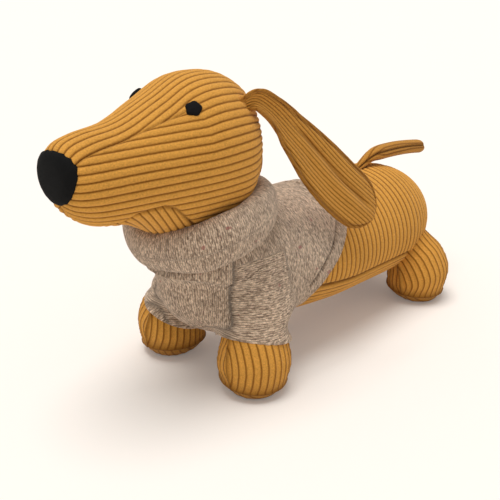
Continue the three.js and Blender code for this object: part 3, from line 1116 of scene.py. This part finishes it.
def up_the_sleeve(start, rows):
    """Rows from a cuff up the sleeve and out over the body, until the two are one cloth."""
    def gap(points):
        return sleeve_field(points) - body_field(points)

    lines, left = [start], [gap(start) - sleeve_reach(start)]
    for _ in range(SLEEVE_STEPS):
        here = lines[-1]
        out = unit(slope(jumper_field, here))
        way = slope(gap, here)
        here = here + unit(way - out * (way * out).sum(-1, keepdims=True)) * SLEEVE_STEP
        here = here - out * jumper_field(here)[..., None]
        lines.append(here)
        left.append(gap(here) - sleeve_reach(here))
    lines, left = np.stack(lines), np.stack(left)
    past = left > 0.5
    last = np.where(past.any(axis=0), past.argmax(axis=0), SLEEVE_STEPS)
    last = (np.roll(last, 1) + 2 * last + np.roll(last, -1)) / 4
    last = np.maximum(last, SLEEVE_LEAST_STEPS)
    last = sum(np.roll(last, shift) for shift in range(-4, 5)) / 9
    place = np.linspace(1, 0, rows)[:, None] * last[None]
    k = np.minimum(place.astype(int), SLEEVE_STEPS - 1)
    column = np.broadcast_to(np.arange(start.shape[0]), k.shape)
    return blend(lines[k, column], lines[k + 1, column], (place - k)[..., None])


class DOORSTOP_OT_sleeves(bpy.types.Operator):
    """Knit the two short sleeves, which end in a plain cuff above the feet"""

    bl_idname = "doorstop.sleeves"
    bl_label = "Sleeves"

    def execute(self, context):
        for name, side in SIDES:
            self.sleeve(name, side)
        return {"FINISHED"}

    def sleeve(self, name, side):
        leg = LEGS[0][1:]
        fine = np.linspace(0, 1, 400)
        rise = through(leg[-1], fine)[..., 0] * leg[1]
        angle = angles(200)
        slant, inner_side = np.cos(angle - 0.8), np.maximum(-np.cos(angle - 0.6), 0) ** 2
        near_level, far_level = 38 + 4 * slant, 36.5 - 1.5 * slant - 3.5 * inner_side
        level_at = near_level if side == NEAR else far_level
        centre, half, _, forward, inward = leg_axis(*leg, np.interp(level_at, rise, fine))
        start = centre + (half + SLEEVE_EASE)[:, None] * (
            forward * np.sin(angle)[:, None] - inward * np.cos(angle)[:, None]
        )
        points = up_the_sleeve(drawn_to(jumper_field, start, 0.0, 3, 4.0), 90)
        if (normals(points)[-5] * (points[-5] - points[-5].mean(axis=0))).sum() < 0:
            points = points[:, ::-1]
        to_edge = distance_to_edge(points)
        seam = armhole(points)
        run = knit_run(points)
        free = smooth(points[..., 2], CUFF_RISE, CUFF_RISE + 22)
        swell = (cloth_waves(points) - 0.8 * seam) * blend(0.15, 1, free)
        swell = 0.4 + swell + 0.4 * smooth(to_edge, 5, 2)
        points = points + evened(normals(points), 4) * swell[..., None]
        wall = on_side(side, *cloth_wall(points, run, seam))
        piece = solid(f"jumper_sleeve_{name}_knit", *wall, round_rows=True)
        finished(piece, "knit", knit(), f"jumper_sleeve_{name}")


COLLAR_RISE, COLLAR_ROLL, COLLAR_HEIGHT, COLLAR_TILT, COLLAR_SEAT = 116, 17, 27, 13, 3.0


def collar_gap(points):
    """About how far points are from the roll collar."""
    tilt = np.radians(COLLAR_TILT)
    x, y, z = np.moveaxis(points - (NECK_X, 0, COLLAR_RISE), -1, 0)
    flat_x, up = x * np.cos(tilt) + z * np.sin(tilt), z * np.cos(tilt) - x * np.sin(tilt)
    across = np.hypot(flat_x, y) - NECK_RADIUS - 1 - COLLAR_ROLL / 2
    up = up - 4.5 * np.abs(y) / np.maximum(np.hypot(flat_x, y), 1)
    oval = np.hypot(across / (COLLAR_ROLL / 2 + 1), up / (COLLAR_HEIGHT / 2))
    return (oval - 1) * COLLAR_ROLL / 2


class DOORSTOP_OT_collar(bpy.types.Operator):
    """Roll the jumper's collar: a fat soft roll round the neck, lower at the throat"""

    bl_idname = "doorstop.collar"
    bl_label = "Roll collar"

    def execute(self, context):
        rings, columns = 260, 120
        turn = angles(rings)
        angle = angles(columns)
        tilt = np.radians(COLLAR_TILT)
        middle = NECK_RADIUS + 1 + COLLAR_ROLL / 2
        sag = 0.5 + 0.5 * np.cos(turn - np.pi)
        wide = COLLAR_ROLL / 2 * (1.02 + 0.04 * np.sin(2 * turn + 1) + 0.04 * np.sin(5 * turn))
        wide = wide + 2.2 * smooth(np.cos(turn), 0.1, 0.8)
        high = COLLAR_HEIGHT / 2 * (1.0 + 0.04 * np.sin(3 * turn + 2))
        out_share, up_share = squarer(np.cos(angle), 0.85), squarer(np.sin(angle), 0.9)
        reach = middle + wide[:, None] * out_share[None]
        height = high[:, None] * up_share[None] - 1.2 * sag[:, None] * (1 - up_share[None]) / 2
        height = height + np.abs(np.sin(turn))[:, None] ** 1.5 * (4.5 + 2.5 * up_share[None])
        local = np.stack(
            [np.cos(turn)[:, None] * reach, np.sin(turn)[:, None] * reach, height + 0 * reach], -1
        )
        c, s = np.cos(tilt), np.sin(tilt)
        spin = np.array([[c, 0, -s], [0, 1, 0], [s, 0, c]])
        points = local @ spin.T + (NECK_X, 0, COLLAR_RISE)
        too_deep = (body_field(points) < -COLLAR_SEAT) & (up_share < 0.2)[None]
        seated = drawn_to(body_field, points, -COLLAR_SEAT)
        points = np.where(too_deep[..., None], seated, points)
        outwards = np.stack([np.cos(turn), np.sin(turn), 0 * turn], -1)
        if (normals(points, True)[:, 0] * outwards).sum() < 0:
            points = points[:, ::-1]
        run_round = np.broadcast_to((turn * (middle + 6))[:, None], reach.shape)
        run_up = arc_round(points)[0]
        swell = 0.8 * ripples(points, 30, 11) + 0.3 * ripples(points, 11, 4)
        points = points + normals(points, True) * swell[..., None]
        # Painted contact shade: on the collar the seam mark holds nothing but a darkening along the
        # line where it meets the body.
        crease = hump(body_field(points), 0, 2.4)
        marks = {"run": np.stack([run_round, run_up, 0 * run_up], -1), "seam": 0.8 * crease}
        piece = solid("jumper_roll_collar_knit", points, marks, round_rows=True)
        finished(piece, "knit", knit(), "jumper_roll_collar", fill=0.3)
        return {"FINISHED"}


# Materials.


class Value:
    """A socket that takes part in Python sums, each of which adds a Math node."""

    def __init__(self, finish, socket):
        self.finish, self.socket = finish, socket

    def math(self, operation, *others, clamp=False):
        settings = {"operation": operation, "use_clamp": clamp}
        return self.finish.node("ShaderNodeMath", settings, values=(self,) + others)

    def turned(self, operation, first):
        settings = {"operation": operation}
        return self.finish.node("ShaderNodeMath", settings, values=(first, self))

    def __add__(self, other):
        return self.math("ADD", other)

    def __radd__(self, other):
        return self.turned("ADD", other)

    def __sub__(self, other):
        return self.math("SUBTRACT", other)

    def __rsub__(self, other):
        return self.turned("SUBTRACT", other)

    def __mul__(self, other):
        return self.math("MULTIPLY", other)

    def __rmul__(self, other):
        return self.turned("MULTIPLY", other)

    def __truediv__(self, other):
        return self.math("DIVIDE", other)

    def clamped(self):
        return self.math("ADD", 0.0, clamp=True)

    def floor(self):
        return self.math("FLOOR")

    def fraction(self):
        return self.math("FRACT")

    def size(self):
        return self.math("ABSOLUTE")

    def between(self, low, high):
        """0 at low and below, 1 at high and above."""
        return ((self - low) / (high - low)).clamped()


class Finish:
    """The nodes of a material or of the world. Every node comes from the method node."""

    def __init__(self, owner, shader="BSDF_PRINCIPLED"):
        owner.use_nodes = True
        self.tree = owner.node_tree
        self.shader = next(n for n in self.tree.nodes if n.type == shader)

    def feed(self, slot, value):
        if isinstance(value, Value):
            self.tree.links.new(value.socket, slot)
        elif slot.type == "RGBA":
            slot.default_value = (*value, 1)
        else:
            slot.default_value = value

    def node(self, kind, settings=None, out=0, values=(), **inputs):
        """Adds a node: first its settings, then the values or links of its sockets."""
        node = self.tree.nodes.new(kind)
        for key, value in (settings or {}).items():
            setattr(node, key, value)
        slots = [slot for slot in node.inputs if slot.enabled]
        for slot, value in zip(slots, values):
            self.feed(slot, value)
        for key, value in inputs.items():
            self.feed(next(slot for slot in slots if slot.name == key), value)
        outputs = [socket for socket in node.outputs if socket.enabled]
        return Value(self, outputs[out] if isinstance(out, int) else node.outputs[out])

    def mark(self, name, out="Fac"):
        """A piece's attribute."""
        return self.node("ShaderNodeAttribute", {"attribute_name": name}, out)

    def parts(self, vector):
        first = self.node("ShaderNodeSeparateXYZ", values=(vector,))
        return [Value(self, socket) for socket in first.socket.node.outputs]

    def joined(self, x, y, z=0.0):
        return self.node("ShaderNodeCombineXYZ", values=(x, y, z))

    def place(self):
        return self.node("ShaderNodeTexCoord", out="Object")

    def camera_ray(self):
        return self.node("ShaderNodeLightPath", out="Is Camera Ray")

    def noise(self, vector, scale, detail=2.0, roughness=0.5):
        return self.node(
            "ShaderNodeTexNoise", out="Fac",
            Vector=vector, Scale=scale, Detail=detail, Roughness=roughness,
        )

    def chance(self, x, y, seed):
        """A fixed random number for each whole x and y."""
        settings = {"noise_dimensions": "3D"}
        return self.node("ShaderNodeTexWhiteNoise", settings, "Value", Vector=self.joined(x, y, seed))

    def mix(self, share, first, second):
        return self.node("ShaderNodeMix", {"data_type": "RGBA"}, values=(share, first, second))

    def tinted(self, colour_value, share):
        """A colour made lighter or darker by a value about 1."""
        settings = {"operation": "SCALE"}
        return self.node("ShaderNodeVectorMath", settings, values=(colour_value,), Scale=share)

    def bump(self, height, distance, strength=1.0):
        return self.node(
            "ShaderNodeBump", out="Normal", Height=height, Distance=distance, Strength=strength
        )

    def set(self, **inputs):
        for key, value in inputs.items():
            self.feed(self.shader.inputs[key.replace("_", " ")], value)


def made(name, build):
    """The material of that name, built once."""
    found = bpy.data.materials.get(name)
    if found is None:
        found = bpy.data.materials.new(name)
        build(Finish(found))
    return found


def corduroy():
    def build(f):
        colours = cloth_colours()
        seam, place = f.mark("seam"), f.place()
        across, along, share = f.parts(f.mark("run", "Vector"))
        wander = (f.noise(place, 260, 2) - 0.5) * 0.10
        rib = (across / cloth_mm("wale_pitch") + wander).fraction()
        pile = 1 - (rib - 0.5).size() * 2
        crest = pile.between(0.02, 0.42) * (1 - seam * SEAM_FLATTENS) * (0.3 + share * 0.7)
        grain = f.noise(place, 950, 4, 0.8)
        tufts = f.noise(f.joined(across * 1.1, along * 0.8), 1.0, 3, 0.7)
        patches = f.noise(place, 22, 2)
        shade = (0.2 + grain * 1.1 + tufts * 0.48) * (0.92 + patches * 0.16)
        # Off the crests the cloth takes the groove colour: the ground's own colour with painted shade
        # in the grooves.
        cloth = f.mix(crest, tuple(colours.groove), tuple(colours.wale))
        cloth = f.tinted(cloth, shade * (1 - seam * 0.3))
        nap = f.bump(grain + tufts * 0.6, 0.0006, 0.55)
        f.set(
            Base_Color=cloth, Roughness=0.92, Normal=nap, Sheen_Weight=0.15, Sheen_Roughness=0.45,
            Sheen_Tint=(1.0, 0.86, 0.6), Specular_IOR_Level=0.2,
        )

    return made("corduroy_cloth", build)


def knit():
    def build(f):
        colours = cloth_colours()
        across, along, _ = f.parts(f.mark("run", "Vector"))
        seam, place = f.mark("seam"), f.place()
        wander = f.noise(place, 200, 2) - 0.5
        column = across / cloth_mm("stitch_width") + wander * 0.3
        side_way = (column.fraction() - 0.5).size() * 2
        half_column = (column * 2).floor()
        row = along / cloth_mm("stitch_height") + side_way * 0.4 + wander * 0.5
        row = row + f.chance(half_column, 0.0, 5.0)
        row_way = (row.fraction() - 0.5).size() * 2
        tone = f.chance(half_column, row.floor(), 1.0)
        strand = f.noise(f.joined(half_column * 7.3, along * 0.35), 1.0, 1)
        fuzz = f.noise(place, 1300, 3, 0.75)
        light = tone * 0.68 + (strand - 0.5) * 0.9 + (fuzz - 0.5) * 1.1 + 0.16
        yarn = f.mix(light.between(0.05, 0.5), tuple(colours.yarn_dark), tuple(colours.yarn_mid))
        yarn = f.mix(light.between(0.5, 0.95), yarn, tuple(colours.yarn_light))
        spots = f.noise(place, 170, 0).between(0.80, 0.83)
        yarn = f.mix(spots * 0.7, yarn, tuple(colours.fleck))
        gap = side_way.between(0.55, 1.0)
        loop = (1 - gap) * (1 - row_way.between(0.6, 1.0) * 0.5)
        # The seam mark darkens the sewn seams, and on the body and collar it also paints contact
        # shade where the two meet.
        shade = (0.62 + loop * 0.5) * (1 - seam * 0.45) * (0.93 + f.noise(place, 30, 2) * 0.14)
        relief = f.bump(loop * 0.8 + fuzz * 0.45 + tone * 0.2, 0.0009, 0.8)
        f.set(
            Base_Color=f.tinted(yarn, shade), Roughness=0.97, Normal=relief, Sheen_Weight=0.35,
            Sheen_Roughness=0.5, Sheen_Tint=(1.0, 0.93, 0.86), Specular_IOR_Level=0.15,
        )

    return made("marled_knit", build)


def black_thread():
    def build(f):
        _, across, along = f.parts(f.mark("run", "Vector"))
        rows = (across * 2.6 + f.noise(f.place(), 300, 1) * 0.5).fraction()
        thread = 1 - (rows - 0.5).size() * 2
        stitch = f.noise(f.joined(across * 3.0, along * 0.25), 1.0, 2)
        # The rows of satin stitch are darker where they meet than on their crowns: painted shade
        # between the rows of thread.
        satin = f.mix(thread * 0.35, tuple(cloth_colours().thread), (0.011, 0.011, 0.012))
        f.set(
            Base_Color=f.tinted(satin, 0.7 + stitch * 0.6), Roughness=0.8,
            Normal=f.bump(thread + stitch * 0.4, 0.0003, 0.35), Specular_IOR_Level=0.12,
        )

    return made("black_satin_stitch", build)


def studio_floor():
    """The floor's shadow shows, and a faint glow that only the camera sees keeps the rest pale."""

    def build(f):
        tone = tuple(cloth_colours().floor)
        f.set(
            Base_Color=[FLOOR_SHARE * part for part in tone], Roughness=1.0, Specular_IOR_Level=0.0
        )
        glow = f.node("ShaderNodeEmission", Color=tone, Strength=f.camera_ray() * FLOOR_GLOW)
        both = f.node("ShaderNodeAddShader", values=(Value(f, f.shader.outputs[0]), glow))
        output = next(node for node in f.tree.nodes if node.type == "OUTPUT_MATERIAL")
        f.feed(output.inputs["Surface"], both)

    return made("studio_floor", build)


# Stage.


FLOOR_SIZE, FLOOR_SHARE, FLOOR_GLOW = 24, 0.86, 0.12
SUN_ENERGY, SUN_SPREAD, SUN_COLOUR, SUN_WAY = 2.05, 0.6, (1.0, 0.985, 0.96), (0.15, -0.05, -1.0)
AIR_LIGHT, AIR_COLOUR = 0.52, (1.0, 0.975, 0.94)
CAMERA_LENS, CAMERA_SENSOR = 64.8, 36
CAMERA_PLACE, CAMERA_WAY = (-0.4517, -0.400, 0.3295), (0.668, 0.628, -0.3955)


class DOORSTOP_OT_stage(bpy.types.Operator):
    """Set the pale floor, the soft studio light and the camera"""

    bl_idname = "doorstop.stage"
    bl_label = "Stage"

    def execute(self, context):
        scene = context.scene
        scene.view_settings.view_transform = "Standard"
        for picked in context.selected_objects:
            picked.select_set(False)
        bpy.ops.mesh.primitive_plane_add(size=FLOOR_SIZE, location=(0, 0, 0))
        floor = context.object
        floor.name = "studio_floor"
        floor.data.materials.append(studio_floor())

        lamp = bpy.data.lights.new("window_light", "SUN")
        lamp.energy, lamp.angle, lamp.color = SUN_ENERGY, SUN_SPREAD, SUN_COLOUR
        self.aimed("window_light", lamp, SUN_WAY)

        world = bpy.data.worlds.new("studio_air")
        air = Finish(world, "BACKGROUND")
        air.set(Color=AIR_COLOUR, Strength=air.camera_ray() * (1 - AIR_LIGHT) + AIR_LIGHT)
        scene.world = world

        lens = bpy.data.cameras.new("camera")
        lens.lens, lens.sensor_width = CAMERA_LENS, CAMERA_SENSOR
        scene.camera = self.aimed("camera", lens, CAMERA_WAY)
        scene.camera.location = CAMERA_PLACE
        return {"FINISHED"}

    def aimed(self, name, data, way):
        """A new object of the stage that looks or shines along a direction."""
        thing = bpy.data.objects.new(name, data)
        thing.rotation_mode = "QUATERNION"
        thing.rotation_quaternion = Vector(way).to_track_quat("-Z", "Y")
        bpy.context.scene.collection.objects.link(thing)
        return thing


# Add-on.


PIECES = (
    DOORSTOP_OT_torso, DOORSTOP_OT_neck, DOORSTOP_OT_head, DOORSTOP_OT_legs, DOORSTOP_OT_ears,
    DOORSTOP_OT_tail, DOORSTOP_OT_nose, DOORSTOP_OT_eyes, DOORSTOP_OT_jumper, DOORSTOP_OT_sleeves,
    DOORSTOP_OT_collar, DOORSTOP_OT_stage,
)


class DOORSTOP_PT_panel(bpy.types.Panel):
    """Lists the door stop's pieces, sizes and colours"""

    bl_idname = "DOORSTOP_PT_panel"
    bl_label = "Door stop"
    bl_space_type = "VIEW_3D"
    bl_region_type = "UI"
    bl_category = "Door stop"

    def draw(self, context):
        for group in (context.scene.door_stop_cloth, context.scene.door_stop_colours):
            box = self.layout.box()
            for key in group.__annotations__:
                box.prop(group, key)
        for piece in PIECES:
            self.layout.operator(piece.bl_idname)


CLASSES = (DoorStopCloth, DoorStopColours) + PIECES + (DOORSTOP_PT_panel,)


def register():
    for kind in CLASSES:
        bpy.utils.register_class(kind)
    bpy.types.Scene.door_stop_cloth = PointerProperty(type=DoorStopCloth)
    bpy.types.Scene.door_stop_colours = PointerProperty(type=DoorStopColours)


def unregister():
    del bpy.types.Scene.door_stop_colours
    del bpy.types.Scene.door_stop_cloth
    for kind in reversed(CLASSES):
        bpy.utils.unregister_class(kind)


def main():
    register()
    for piece in PIECES:
        group, name = piece.bl_idname.split(".")
        getattr(getattr(bpy.ops, group), name)()


if __name__ == "__main__":
    main()
